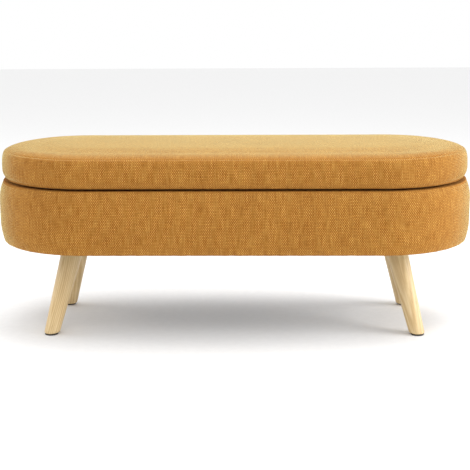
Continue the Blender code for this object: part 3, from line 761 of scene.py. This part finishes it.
def build_body_upholstery(trees):
    inside, side, under = body_outline(0.003)
    wall_r = WALL_HIGH.y + GAP
    back = [
        (FLANGE_R, BODY_LOW.z + CLOTH),
        (wall_r, BODY_LOW.z + CLOTH),
        (wall_r, RIM_HIGH.z + GAP),
        (RIM_INNER - GAP, RIM_HIGH.z + GAP),
        (RIM_INNER - GAP, RIM_LOW.z + 0.0005),
    ]
    section = joined(inside, side, under, back)
    body = Swept(section, 0.005, closed=True)
    if trees:
        columns = np.arange(len(section))
        soft = ((columns > len(inside)) & (columns < len(inside) + len(side) + 6)).astype(float)
        follow(body, trees["body"], soft)
        body.offset = np.clip(body.offset, -0.0016, 0.0014)
        smooth_offsets(body, 4)
    middle = (BODY_R, (BODY_LOW.z + BODY_HIGH.z) / 2)
    body.offset += 0.0006 * body.ripples((4, 7, 11, 17), 29) * body.near(middle, 0.05)
    low_edge = (BODY_R - 0.002, BODY_LOW.z + 0.006)
    body.offset += 0.0003 * body.ripples((61, 84, 113), 31) * body.near(low_edge, 0.014)
    top_edge = (BODY_R - 0.004, BODY_HIGH.z - 0.006)
    body.offset += 0.00025 * body.ripples((53, 77, 104), 37) * body.near(top_edge, 0.012)
    pleats = body.ripples((96, 131, 160), 41) * at_ends(body)
    level = (body.z < BODY_LOW.z + 0.0004) & (body.r > FLANGE_R + 0.003)
    level &= body.r < BODY_R - 0.012
    body.offset += 0.0005 * np.clip(pleats, -0.2, 1.2) * level[None, :]
    back_seam(body, depth=0.0009, width=0.0020, low=BODY_LOW.z)
    rub(body, body.near(low_edge, 0.006) + body.near(top_edge, 0.008) * 0.6, seed=43)
    # The hem, ledge and turned-under cloth take the copy with no sheen, as painted shade in the gap under the
    # lid
    body.turned_in_painted_shade[:len(inside) + 3] = 1
    body.turned_in_painted_shade[len(inside) + len(side):] = 1
    foams = ("front_foam", "back_foam", "left_end_foam", "right_end_foam")
    build_cover(body, "body_upholstery", "base", "body_cover", *foams)


def swell_pads():
    """Simulates the swelling of the lid's and the body's padding, each a little smaller at the start."""
    inset = 0.0022
    lid = []
    for r, z in joined(*lid_outline(0.006)):
        lid.append((max(r - inset, 0.0), z - inset if z > LID_LOW.z + 0.02 else z))
    lid_section = joined(lid, [(0.0, LID_LOW.z)])
    seam_r, seam_z = SEAM[0] - inset, SEAM[1] - inset

    def lid_held(r, z):
        return (z < LID_LOW.z + 0.006) | (np.hypot(r - seam_r, z - seam_z) < 0.0045)

    _, side, under = body_outline(0.006)
    body = [(r - inset, z) for r, z in joined(side, under[:8])]
    body_section = joined([(0.0, BODY_HIGH.z)], body, [(0.0, BODY_LOW.z)])

    def body_held(r, z):
        return (z < BODY_LOW.z + 0.007) | (z > BODY_HIGH.z - 0.006) | (r < BODY_R - 0.03)

    how = {"pressure": 3.0, "voxel": 0.006, "most": 0.0040}
    return {"lid": swollen(lid_section, lid_held, **how), "body": swollen(body_section, body_held, **how)}


# Linings and dust cover


def bumps(points, size, seed):
    """Soft random bumps over x and y, about -1 to 1, about that size across."""
    draw = np.random.default_rng(seed)
    height = np.zeros(points.shape[:2])
    for _ in range(14):
        heading = draw.uniform(0, 2 * np.pi)
        wave = 2 * np.pi / (size * draw.uniform(0.7, 1.8))
        along = points[:, :, 0] * math.cos(heading) + points[:, :, 1] * math.sin(heading)
        height += draw.uniform(0.4, 1.0) * np.cos(wave * along + draw.uniform(0, 2 * np.pi))
    return height / math.sqrt(14)


def build_floor_lining():
    low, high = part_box("floor_lining")
    radius = high.y
    section = joined(
        line((0, high.z), (radius - 0.001, high.z), 0.006),
        arc((radius - 0.0007, high.z - 0.0007), 0.0007, 90, 0, 3),
        [(radius, low.z), (radius - 0.01, low.z), (0, low.z)],
    )
    lining = Swept(section, 0.008)
    free = np.clip((radius - 0.012 - lining.r) / 0.03, 0, 1)
    free *= lining.z > low.z + 0.0008
    lining.lift = np.clip(bumps(lining.rest(), 0.11, 51) * 0.35 + 0.25, -0.1, 0.9) * 0.001 * free[None, :]
    made = lining.build("floor_lining_cloth", LINING, panel_end=len(section))
    dress(made, "base", "lining_fabric", "floor_lining")


def build_side_lining():
    low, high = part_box("side_lining")
    outer = high.y
    inner = outer - 0.0015
    hem = high.z - 0.014
    section = joined(
        line((inner, low.z), (inner, hem - 0.0012), 0.005),
        bezier((inner, hem - 0.0012), (0.0004, 0.0005), (0.0, -0.0006), (inner - 0.0002, hem + 0.0008), 4),
        line((inner - 0.0002, hem + 0.0008), (inner, high.z - 0.0008), 0.004),
        arc((outer - 0.0007, high.z - 0.0007), 0.0007, 180, 0, 6),
        [(outer, low.z)],
    )
    lining = Swept(section, 0.006, closed=True)
    shown = (lining.r < inner + 0.0004)[None, :]
    middle = np.clip((hem - lining.z) / 0.02, 0, 1)
    middle *= np.clip((lining.z - low.z) / 0.02, 0, 1)
    folds = lining.ripples((19, 31, 47, 68), 61)
    lining.offset -= 0.0004 * np.clip(1 + folds, 0, 1.8) * shown * middle[None, :]
    made = lining.build("side_lining_cloth", LINING)
    places = ring_places(inner, hem + 0.0035, spacing=0.0050, seed=91, twist=0.03)
    stitches = scatter("side_lining_stitches", STITCH, places, LINING_THREAD)
    dress(stitches, "base", "lining_fabric")
    dress(made, "base", "lining_fabric", "side_lining")


def build_under_cloth(name, node, body, sag):
    """A black cloth stretched under a board, with its edge folded in and stapled."""
    low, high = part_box(node)
    radius = high.y
    hem_width = 0.012
    fold = 0.0005
    hem_r = radius - hem_width
    section = joined(
        line((0, high.z), (radius, high.z), 0.012),
        [(radius + 0.0002, (low.z + high.z) / 2), (radius, low.z - fold)],
        line((radius, low.z - fold), (hem_r, low.z - fold), 0.004),
        [(hem_r - 0.0004, low.z)],
        line((hem_r - 0.0004, low.z), (0, low.z), 0.007),
    )
    cloth = Swept(section, 0.008)
    rest = cloth.rest()
    from_leg = np.hypot(np.abs(rest[:, :, 0]) - LEG_HEAD.x, np.abs(rest[:, :, 1]) - LEG_HEAD.y)
    free = np.clip((hem_r - cloth.r) / 0.05, 0, 1) * np.clip((from_leg - 0.034) / 0.03, 0, 1)
    waves = np.clip(0.6 + 0.4 * bumps(rest, 0.16, 71), 0, 1.2)
    cloth.lift = -sag * waves * free
    crimp = cloth.ripples((88, 119, 147), 73) * at_ends(cloth)
    at_hem = (cloth.r > hem_r) & (cloth.z < low.z)
    cloth.lift += 0.00018 * np.clip(crimp, -1.2, 0.4) * at_hem[None, :]
    made = cloth.build(name, FELT, panel_end=len(section))
    down = Vector((0, 0, -1))
    places = ring_places(radius - hem_width / 2, low.z - fold, spacing=0.055, seed=81, facing=down)
    staples = scatter(f"{name}_staples", STAPLE, places, DARK_STEEL)
    dress(staples, body, "hardware_steel")
    dress(made, body, "dust_cloth", node)


# Small repeated pieces


def tube_mesh(name, points, radius):
    """A round wire through the points, with closed ends."""
    curve = bpy.data.curves.new(name, "CURVE")
    set_all(curve, dimensions="3D", bevel_depth=radius, bevel_resolution=2, use_fill_caps=True)
    spline = curve.splines.new("POLY")
    spline.points.add(len(points) - 1)
    for target, point in zip(spline.points, points):
        target.co = (*point, 1)
    guide = link(name, curve)
    mesh = evaluated_mesh(guide)
    bpy.data.objects.remove(guide)
    weld(mesh)
    mesh.shade_smooth()
    return mesh


def scatter(name, mesh, places, material):
    """One object with a copy of the mesh at each place, a 4x4 matrix."""
    points = np.c_[mesh_points(mesh), np.ones(len(mesh.vertices))]
    faces = [tuple(face.vertices) for face in mesh.polygons]
    all_points = []
    all_faces = []
    for place in places:
        first = len(all_points) * len(points)
        all_points.append((points @ np.array(place).T)[:, :3])
        all_faces += [tuple(first + v for v in face) for face in faces]
    made = bpy.data.meshes.new(name)
    made.from_pydata(np.concatenate(all_points).tolist(), [], all_faces)
    made.shade_smooth()
    made.set_sharp_from_angle(angle=SHARP)
    return link(name, made, material)


def ring_places(radius, z, spacing, seed, facing=None, twist=0.10):
    """Places along the pill at that radius, each with its X along the pill and its Z facing that way. No
    facing means that Z faces the middle of the object."""
    draw = np.random.default_rng(seed)
    rows = stations(0.001)
    count = round((4 * HALF + 2 * math.pi * radius) / spacing)
    places = []
    outline = rows[:, 1:3] * radius + np.c_[rows[:, 0], np.zeros(len(rows))]
    steps = np.hypot(*np.diff(outline, axis=0).T)
    travelled = np.concatenate([[0], np.cumsum(steps)])
    for k in range(count):
        i = int(np.searchsorted(travelled, travelled[-1] * (k + 0.5) / count))
        x, out_x, out_y, _ = rows[min(i, len(rows) - 2)]
        outwards = Vector((out_x, out_y, 0))
        along = Vector((-out_y, out_x, 0))
        normal = facing or -outwards
        axes = Matrix((along, normal.cross(along), normal)).transposed().to_4x4()
        turn = Matrix.Rotation(draw.normal(0, twist), 4, "Z")
        places.append(Matrix.Translation((x + radius * out_x, radius * out_y, z)) @ axes @ turn)
    return places


def mesh_from(bm, name):
    mesh = bpy.data.meshes.new(name)
    bm.to_mesh(mesh)
    bm.free()
    return mesh


def turned_mesh(name, section, steps):
    """A turned piece about the local Z: the section's (r, h) points run down its outer side."""
    bm = bmesh.new()
    verts = [bm.verts.new((r, 0, h)) for r, h in section]
    edges = [bm.edges.new(pair) for pair in zip(verts, verts[1:])]
    bmesh.ops.spin(
        bm, geom=verts + edges, cent=(0, 0, 0), axis=(0, 0, 1), angle=2 * math.pi, steps=steps, use_merge=True
    )
    bmesh.ops.remove_doubles(bm, verts=bm.verts, dist=1e-6)
    bmesh.ops.recalc_face_normals(bm, faces=bm.faces)
    mesh = mesh_from(bm, name)
    mesh.shade_smooth()
    mesh.set_sharp_from_angle(angle=SHARP)
    return mesh


def prism(name, low, high):
    bm = bmesh.new()
    middle = (Vector(low) + Vector(high)) / 2
    size = Vector(high) - Vector(low)
    bmesh.ops.create_cube(bm, size=1.0, matrix=Matrix.Translation(middle) @ Matrix.Diagonal((*size, 1.0)))
    return link(name, mesh_from(bm, name))


def cut(obj, *cutters):
    """Cuts the cutters out of obj, applies the cut and removes them."""
    for cutter in cutters:
        modifier = obj.modifiers.new("cut", "BOOLEAN")
        modifier.operation = "DIFFERENCE"
        modifier.object = cutter
    mesh = evaluated_mesh(obj)
    obj.modifiers.clear()
    obj.data = mesh
    for cutter in cutters:
        bpy.data.objects.remove(cutter)


def pointing(direction):
    """The turn that takes Z to that direction."""
    return Vector(direction).to_track_quat("Z", "Y").to_matrix().to_4x4()


def add_screws(node, head, places, body):
    dress(scatter(f"{node}_screws", head, places, ZINC), body, "bolt_steel")


def screw_mesh(name, radius, rise, depth):
    """The head of a cross-recessed screw. Its flange is at height 0, its crown rise above it."""
    crown = [(radius * math.sin(a), rise * math.cos(a)) for a in np.radians(np.linspace(0, 90, 7))]
    section = crown + [(radius * 0.94, -depth * 0.12), (radius * 0.5, -depth), (0, -depth)]
    head = link(name, turned_mesh(name, section, 28))
    arm = radius * 0.52
    slot = radius * 0.11
    floor = min(rise, 0.0) - 0.0006 + rise * 0.2
    long_arm = prism("recess_a", (-arm, -slot, floor), (arm, slot, rise + 0.001))
    cross_arm = prism("recess_b", (-slot, -arm, floor), (slot, arm, rise + 0.001))
    cut(head, long_arm, cross_arm)
    mesh = head.data
    bpy.data.objects.remove(head)
    return mesh


STAPLE = tube_mesh(
    "staple",
    [(-0.0052, 0, -0.003), (-0.0052, 0, -0.0004), (-0.0046, 0, 0.0001), (0.0046, 0, 0.0001),
     (0.0052, 0, -0.0004), (0.0052, 0, -0.003)],
    0.00038,
)
STITCH = tube_mesh(
    "stitch",
    [(-0.0018, 0, -0.0005), (-0.0014, 0, 0.0001), (0, 0, 0.00025), (0.0014, 0, 0.0001), (0.0018, 0, -0.0005)],
    0.00028,
)


def build_rim_staples():
    """Staples that hold the cover's hem to the inner side of the rim."""
    places = ring_places(RIM_HEM_R, RIM_LOW.z + 0.005, spacing=0.042, seed=97)
    dress(scatter("rim_hem_staples", STAPLE, places, DARK_STEEL), "base", "hardware_steel")


# Legs

LEG_HEAD = (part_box("front_right_leg_bolt")[0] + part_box("front_right_leg_bolt")[1]) / 2
LEG_HEAD.y = abs(LEG_HEAD.y)
LEG_HEAD_R = 0.0264
LEG_FOOT_R = 0.0174


def leg_mesh(name, head, foot, low, high):
    """A tapered round leg on a slanted axis, cut level at both ends, with its foot's edge rounded off."""
    axis = head - foot
    taper = (LEG_HEAD_R - LEG_FOOT_R) / axis.length
    overrun = 0.03
    bm = bmesh.new()
    bmesh.ops.create_cone(
        bm,
        cap_ends=True,
        segments=72,
        radius1=LEG_FOOT_R - taper * overrun,
        radius2=LEG_HEAD_R + taper * overrun,
        depth=axis.length + 2 * overrun,
        matrix=Matrix.Translation((head + foot) / 2) @ pointing(axis),
    )
    for level, normal in ((high, 1), (low, -1)):
        everything = bm.verts[:] + bm.edges[:] + bm.faces[:]
        made = bmesh.ops.bisect_plane(
            bm, geom=everything, plane_co=(0, 0, level), plane_no=(0, 0, normal), clear_outer=True
        )
        rim = [item for item in made["geom_cut"] if isinstance(item, bmesh.types.BMEdge)]
        bmesh.ops.contextual_create(bm, geom=rim)
    for level, width in ((low, 0.0036), (high, 0.0008)):
        rim = [edge for edge in bm.edges if all(abs(v.co.z - level) < 1e-5 for v in edge.verts)]
        bmesh.ops.bevel(bm, geom=rim, offset=width, segments=4, profile=0.5, affect="EDGES")
    bmesh.ops.recalc_face_normals(bm, faces=bm.faces)
    mesh = mesh_from(bm, name)
    mesh.shade_smooth()
    mesh.set_sharp_from_angle(angle=math.radians(30))
    return mesh


def build_legs():
    glide_low, glide_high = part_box("front_right_foot_glide")
    glide_r = (glide_high.x - glide_low.x) / 2
    leg_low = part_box("front_right_leg")[0].z
    glide_top = leg_low - GAP
    glide_section = [(0, glide_top)]
    glide_section += arc((glide_r - 0.0006, glide_top - 0.0006), 0.0006, 90, 0, 3)
    glide_section += arc((glide_r - 0.0012, 0.0012), 0.0012, 0, -90, 5)
    glide_section += [(0.0045, 0.0), (0.0038, 0.0007), (0, 0.0007)]
    for sign_y, end in ((-1, "front"), (1, "rear")):
        for sign_x, side in ((-1, "left"), (1, "right")):
            corner = f"{end}_{side}"
            low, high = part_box(f"{corner}_foot_glide")
            foot = Vector(((low.x + high.x) / 2, (low.y + high.y) / 2, 0))
            head = Vector((sign_x * LEG_HEAD.x, sign_y * LEG_HEAD.y, BODY_LOW.z))
            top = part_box(f"{corner}_leg")[1].z
            turn = Matrix.Rotation(sign_x * 0.9 + sign_y * 0.4, 4, "Z")
            place = Matrix.Translation(foot) @ pointing(head - foot) @ turn
            mesh = leg_mesh(f"{corner}_turned_leg", head, foot, leg_low, top)
            # The wood's own coordinates: the rings' middle is beside the leg, and its grain runs along it
            pith = Matrix.Translation((0.021, 0.004 * sign_x, 0.31 * sign_x + 0.77 * sign_y))
            to_wood = pith @ place.inverted()
            grain = [to_wood @ vert.co for vert in mesh.vertices]
            attribute = mesh.attributes.new("grain", "FLOAT_VECTOR", "POINT")
            attribute.data.foreach_set("vector", np.array(grain, np.float32).ravel())
            leg = link(f"{corner}_turned_leg", mesh, LEG_WOOD)
            dress(leg, "base", "leg_wood", f"{corner}_leg")
            disc = turned_mesh(f"{corner}_moulded_glide", glide_section, 48)
            glide = link(disc.name, disc, GLIDE)
            glide.location = foot
            dress(glide, "base", "glide_plastic", f"{corner}_foot_glide")


# Hinges and lid stays


def refined(node, body, bevel, cutters=()):
    """A copy of a CAD node's mesh with its edges rounded, which stands for the node."""
    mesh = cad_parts[node].data.copy()
    mesh.materials.clear()
    if "custom_normal" in mesh.attributes:
        mesh.attributes.remove(mesh.attributes["custom_normal"])
    bm = bmesh.new()
    bm.from_mesh(mesh)
    bmesh.ops.remove_doubles(bm, verts=bm.verts, dist=2e-6)
    bmesh.ops.dissolve_limit(bm, angle_limit=math.radians(2), verts=bm.verts, edges=bm.edges)
    bm.to_mesh(mesh)
    bm.free()
    made = link(f"{node}_finished", mesh)
    if cutters:
        cut(made, *cutters)
    rounding = made.modifiers.new("rounded", "BEVEL")
    set_all(rounding, width=bevel, segments=2, limit_method="ANGLE", angle_limit=SHARP)
    rounding.use_clamp_overlap = True
    made.data = evaluated_mesh(made)
    made.modifiers.clear()
    made.data.shade_smooth()
    made.data.set_sharp_from_angle(angle=math.radians(50))
    made.data.materials.append(STEEL)
    dress(made, body, "hardware_steel", node)


def facing_place(point, direction, draw):
    """A place at that point whose Z faces that way, turned about it by chance."""
    return Matrix.Translation(point) @ pointing(direction) @ Matrix.Rotation(draw.uniform(0, math.pi), 4, "Z")


def build_hinges():
    screw_r = 0.0030
    head = screw_mesh("countersunk_head", radius=screw_r - 0.00005, rise=0.00012, depth=0.0011)
    draw = np.random.default_rng(101)
    for side in ("left", "right"):
        for leaf, body, up in (("body", "base", 1), ("lid", "lid", -1)):
            node = f"{side}_hinge_{leaf}_leaf"
            low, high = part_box(node)
            middle = (low.x + high.x) / 2
            # The knuckles rise past the leaf, so its plate's own face is found from the axis
            pin_low, pin_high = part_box(f"{side}_hinge_pin")
            axis_z = (pin_low.z + pin_high.z) / 2
            surface = axis_z - up * GAP
            places = []
            cutters = []
            for share in (-0.34, 0.0, 0.34):
                x = middle + share * (high.x - low.x)
                y = low.y + (0.0078 if share else 0.0150)
                place = facing_place((x, y, surface), (0, 0, up), draw)
                places.append(place)
                section = [(0, 0.0004), (screw_r + 0.0001, 0.0004), (screw_r + 0.0001, -0.0001)]
                section += [(screw_r * 0.5, -0.0016), (0, -0.0016)]
                cutter = link("countersink", turned_mesh("countersink", section, 28))
                cutter.matrix_world = place
                cutters.append(cutter)
            bpy.context.view_layer.update()
            refined(node, body, 0.00022, cutters)
            add_screws(node, head, places, body)
        refined(f"{side}_hinge_pin", "base", 0.0003)


# The thickness of the stays' wall and lid plates
STAY_PLATE = 0.002


def build_stays():
    head = screw_mesh("pan_head", radius=0.0034, rise=0.0014, depth=0.0006)
    draw = np.random.default_rng(103)
    for side, sign in (("left", -1), ("right", 1)):
        hub = f"{side}_stay_hub"
        low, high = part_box(hub)
        middle_z = (low.z + high.z) / 2
        outer_x = high.x if sign > 0 else -low.x
        places = []
        for x in (outer_x - 0.0065, outer_x - 0.0175):
            for z in (middle_z - 0.0215, middle_z + 0.0215):
                point = (sign * x, high.y - STAY_PLATE, z)
                places.append(facing_place(point, (0, -1, 0), draw))
        refined(hub, "base", 0.0004)
        add_screws(hub, head, places, "base")

        bracket = f"{side}_stay_lid_bracket"
        low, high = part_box(bracket)
        outer_x = high.x if sign > 0 else -low.x
        flange = high.z - STAY_PLATE
        places = []
        for y in (low.y + 0.0065, high.y - 0.0065):
            point = (sign * (outer_x - 0.0075), y, flange)
            places.append(facing_place(point, (0, 0, -1), draw))
        refined(bracket, "lid", 0.0004)
        add_screws(bracket, head, places, "lid")

        refined(f"{side}_stay_main_arm", f"{side}_stay_arm", 0.0004)
        refined(f"{side}_stay_elbow_rivet", f"{side}_stay_arm", 0.0006)
        refined(f"{side}_stay_link", f"{side}_stay_link", 0.0004)
        refined(f"{side}_stay_lid_rivet", "lid", 0.0006)


def dress_cad_nodes():
    """Materials for the CAD nodes that show, or would show with the cover off."""
    upright = ("front_wall", "back_wall", "left_end_wall", "right_end_wall")
    for name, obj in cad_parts.items():
        if obj.hide_render:
            continue
        if name in upright:
            material = WALL_PLY
        elif name.endswith(("t_nut", "leg_bolt")):
            material = ZINC
        else:
            material = BOARD_PLY
        obj.data.materials.clear()
        obj.data.materials.append(material)


# Floor, light and camera


def build_stage():
    bm = bmesh.new()
    bmesh.ops.create_grid(bm, x_segments=24, y_segments=24, size=9.0)
    mesh = mesh_from(bm, "studio_floor")
    mesh.materials.append(studio_floor())
    floor = link("studio_floor", mesh)


def softbox(name, place, target, size, power):
    lamp = bpy.data.lights.new(name, "AREA")
    set_all(lamp, shape="RECTANGLE", size=size[0], size_y=size[1], energy=power)
    obj = bpy.data.objects.new(name, lamp)
    obj.location = place
    obj.rotation_euler = (Vector(target) - Vector(place)).to_track_quat("-Z", "Y").to_euler()
    bpy.context.scene.collection.objects.link(obj)


def build_light():
    world = bpy.data.worlds.new("white_studio")
    bpy.context.scene.world = world
    world.use_nodes = True
    background = world.node_tree.nodes["Background"]
    background.inputs["Color"].default_value = (1.0, 1.0, 1.0, 1.0)
    background.inputs["Strength"].default_value = 1.0
    softbox("overhead", (0.25, 0.35, 2.3), (0, 0, 0.4), (2.6, 1.6), 30)
    softbox("right_side", (2.4, -0.5, 1.0), (0.2, 0, 0.3), (1.4, 1.4), 40)
    softbox("left_side", (-2.4, 0.3, 1.0), (-0.2, 0, 0.3), (1.2, 1.2), 9)
    softbox("high_front", (-0.5, -1.7, 2.5), (0, 0, 0.3), (1.4, 1.0), 10)
    bpy.context.scene.view_settings.view_transform = "Standard"


def build_camera():
    """The camera stands in front, a little to the right, and looks down on the object."""
    data = bpy.data.cameras.new("camera")
    set_all(data, lens=85.55, sensor_width=36.0)
    camera = bpy.data.objects.new("camera", data)
    yaw = Matrix.Rotation(0.0228, 4, "Z")
    pitch = Matrix.Rotation(math.pi / 2 - 0.2158, 4, "X")
    roll = Matrix.Rotation(-0.0057, 4, "Z")
    camera.matrix_world = Matrix.Translation((0.0615, -2.6434, 0.7892)) @ yaw @ pitch @ roll
    bpy.context.scene.collection.objects.link(camera)
    bpy.context.scene.camera = camera


build_camera()
SWOLLEN = swell_pads()
build_lid_upholstery(SWOLLEN)
build_body_upholstery(SWOLLEN)
build_floor_lining()
build_side_lining()
build_under_cloth("dust_cloth_sheet", "dust_cover", "base", sag=0.0016)
build_under_cloth("lid_lining_sheet", "lid_lining", "lid", sag=0.0003)
build_rim_staples()
build_legs()
build_hinges()
build_stays()
dress_cad_nodes()
build_stage()
build_light()
